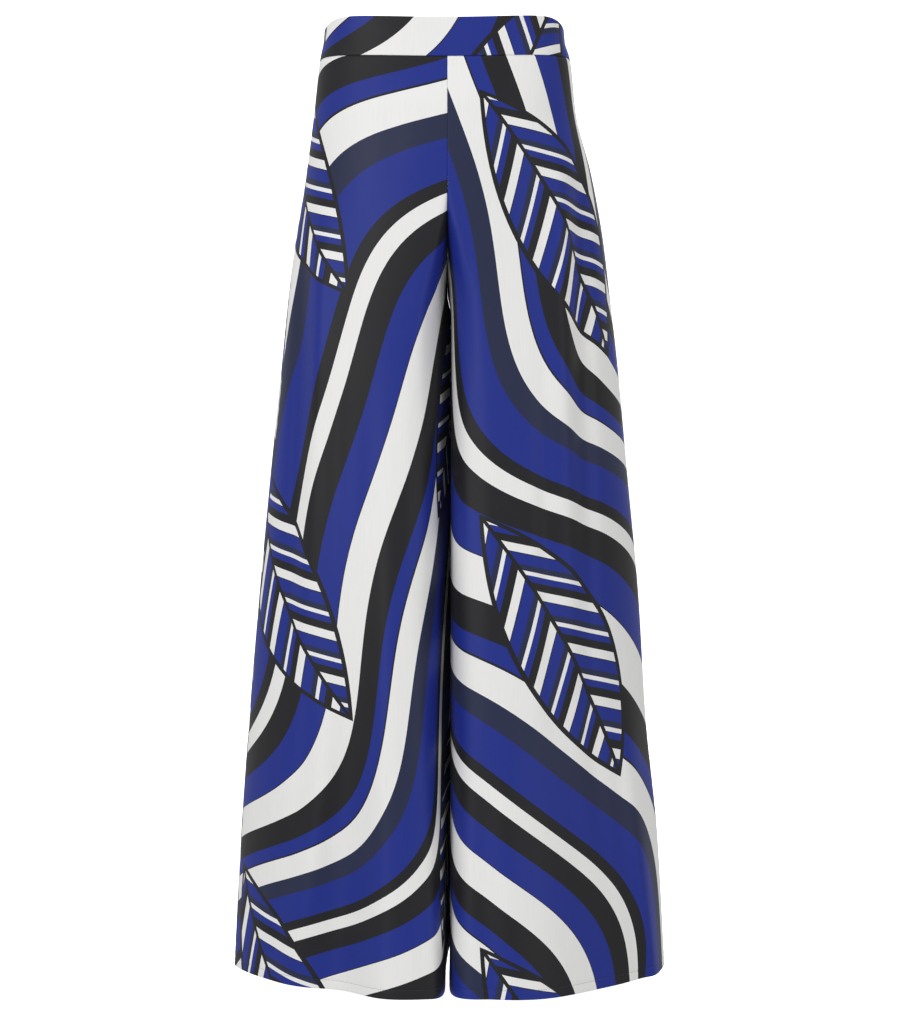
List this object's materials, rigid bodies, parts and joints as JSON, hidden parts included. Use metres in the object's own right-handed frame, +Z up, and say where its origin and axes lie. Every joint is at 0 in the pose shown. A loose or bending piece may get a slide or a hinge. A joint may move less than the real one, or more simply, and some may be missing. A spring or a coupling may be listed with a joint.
{
  "type": "palazzo pants",
  "caption": "High-waisted palazzo pants with very wide flared legs, a plain waistband and a concealed side zip, in printed cloth, hollow as if worn.",
  "frame": {"origin": "middle of the waist opening, half way up the waistband", "axes": "+Z up the body, -Y to the wearer's front, +X to the wearer's left"},
  "size_m": [0.4922, 0.3222, 1.0841],
  "materials": {
    "printed_cloth": "smooth twill with a soft sheen, printed in royal blue, black, navy and white",
    "zip_tape": "matt woven tape",
    "zip_metal": "dark semi-gloss lacquer"
  },
  "bodies": {
    "pants": {"front_left": "printed_cloth", "front_right": "printed_cloth", "back_left": "printed_cloth", "back_right": "printed_cloth", "waistband_front": "printed_cloth", "waistband_back": "printed_cloth", "zip_tape": "zip_tape", "zip_slider": "zip_metal"},
    "pull": {"zip_pull": "zip_metal"}
  },
  "joints": [
    {"name": "pull_swing", "type": "hinge", "parent": "pants", "child": "pull", "pos_m": [0.13138, 0.02775, 0.01394], "axis": [0.3407, -0.9402, 0], "range_deg": [0, 165]}
  ]
}
